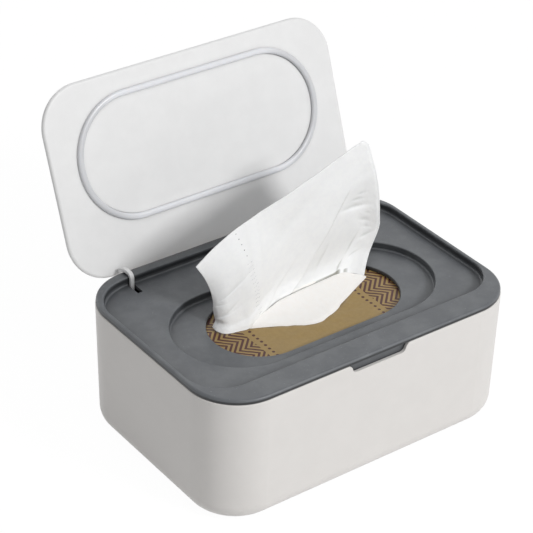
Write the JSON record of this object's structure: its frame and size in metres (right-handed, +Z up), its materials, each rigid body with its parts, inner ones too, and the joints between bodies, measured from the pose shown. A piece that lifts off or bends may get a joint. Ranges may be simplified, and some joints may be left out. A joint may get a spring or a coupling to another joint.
{
  "type": "wipes dispenser",
  "caption": "Box-shaped wipes dispenser with a lift-off cover, a round-ended dispensing opening and a hinged flat lid with a sealing ring.",
  "frame": {"origin": "centre of the tub's flat base", "axes": "+X along the long side, to the right when facing the thumb notch; -Y the front with the thumb notch; +Z up"},
  "size_m": [0.19, 0.1734, 0.1689],
  "materials": {
    "tub_plastic": "fine satin moulded white",
    "cover_plastic": "fine satin moulded blue-grey",
    "lid_plastic": "satin moulded white",
    "seal_rubber": "soft milky silicone",
    "pin_steel": "plain wire",
    "pack_film": "printed kraft-brown film",
    "wipe_cloth": "embossed non-woven"
  },
  "bodies": {
    "tub": {"tub": "tub_plastic", "pack_film": "pack_film", "wipes_stack": "wipe_cloth", "next_wipe": "wipe_cloth"},
    "cover": {"cover_frame": "cover_plastic", "hinge_pin_left": "pin_steel", "hinge_pin_right": "pin_steel", "pulled_wipe": "wipe_cloth"},
    "lid": {"lid_panel": "lid_plastic", "lid_seal": "seal_rubber", "hinge_arm_left": "lid_plastic", "hinge_arm_right": "lid_plastic"}
  },
  "joints": [
    {"name": "cover_lift", "type": "slide", "parent": "tub", "child": "cover", "axis": [0, 0, 1], "range_m": [0, 0.09]},
    {"name": "lid_hinge", "type": "hinge", "parent": "cover", "child": "lid", "pos_m": [0, 0.0616, 0.0674], "axis": [1, 0, 0], "range_deg": [0, 110.3], "deforming": ["pulled_wipe"]}
  ]
}
